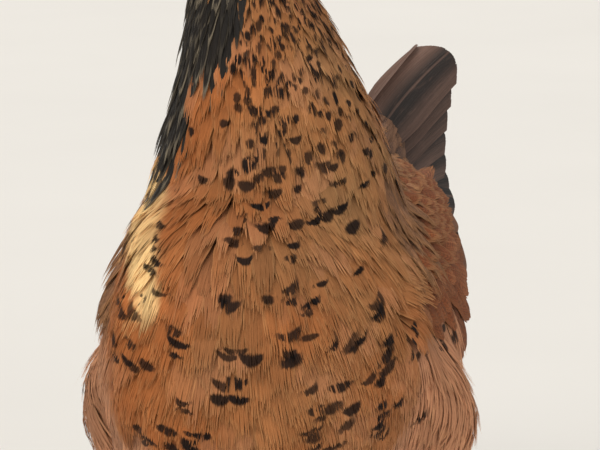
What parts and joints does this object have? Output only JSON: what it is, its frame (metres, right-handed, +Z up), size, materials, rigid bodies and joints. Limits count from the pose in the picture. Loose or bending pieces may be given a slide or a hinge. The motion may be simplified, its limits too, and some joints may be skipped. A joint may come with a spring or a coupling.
{
  "type": "domestic hen",
  "caption": "Life-size standing hen, head turned to its left: buff breast with dark crescent spots, red-brown folded wings, slate tail. Still display model that rests on its feet.",
  "frame": {"origin": "on the floor, under the middle of the bird's bounding box", "axes": "+Z up, -Y the way the breast faces, +X towards the bird's own left"},
  "size_m": [0.1996, 0.4064, 0.4419],
  "materials": {
    "body_plumage": "soft matte feathers, buff with dark brown crescents at their tips, black hackle with pale edges on the nape",
    "wing_plumage": "matte red-brown feathers with fine dark pencilling",
    "tail_plumage": "satin slate-black feathers with paler mauve-grey edges",
    "bare_skin": "red, finely pimpled bare skin",
    "leg_scales": "satin overlapping scales, yellow-grey",
    "horn": "smooth satin horn, darker toward the beak's ridge and the claw tips",
    "eye": "wet, glossy, orange-bay iris round a black pupil"
  },
  "bodies": {
    "root": {"head": "body_plumage", "neck": "body_plumage", "trunk": "body_plumage", "thigh_left": "body_plumage", "thigh_right": "body_plumage", "wing_left": "wing_plumage", "shank_left": "leg_scales", "eye_left": "eye", "wattle_left": "bare_skin", "earlobe_left": "bare_skin", "toe_left_inner": "leg_scales", "claw_left_inner": "horn", "toe_left_middle": "leg_scales", "claw_left_middle": "horn", "toe_left_outer": "leg_scales", "claw_left_outer": "horn", "toe_left_back": "leg_scales", "claw_left_back": "horn", "wing_right": "wing_plumage", "shank_right": "leg_scales", "eye_right": "eye", "wattle_right": "bare_skin", "earlobe_right": "bare_skin", "toe_right_inner": "leg_scales", "claw_right_inner": "horn", "toe_right_middle": "leg_scales", "claw_right_middle": "horn", "toe_right_outer": "leg_scales", "claw_right_outer": "horn", "toe_right_back": "leg_scales", "claw_right_back": "horn", "tail": "tail_plumage", "comb": "bare_skin", "beak_upper": "horn", "beak_lower": "horn"}
  },
  "joints": []
}
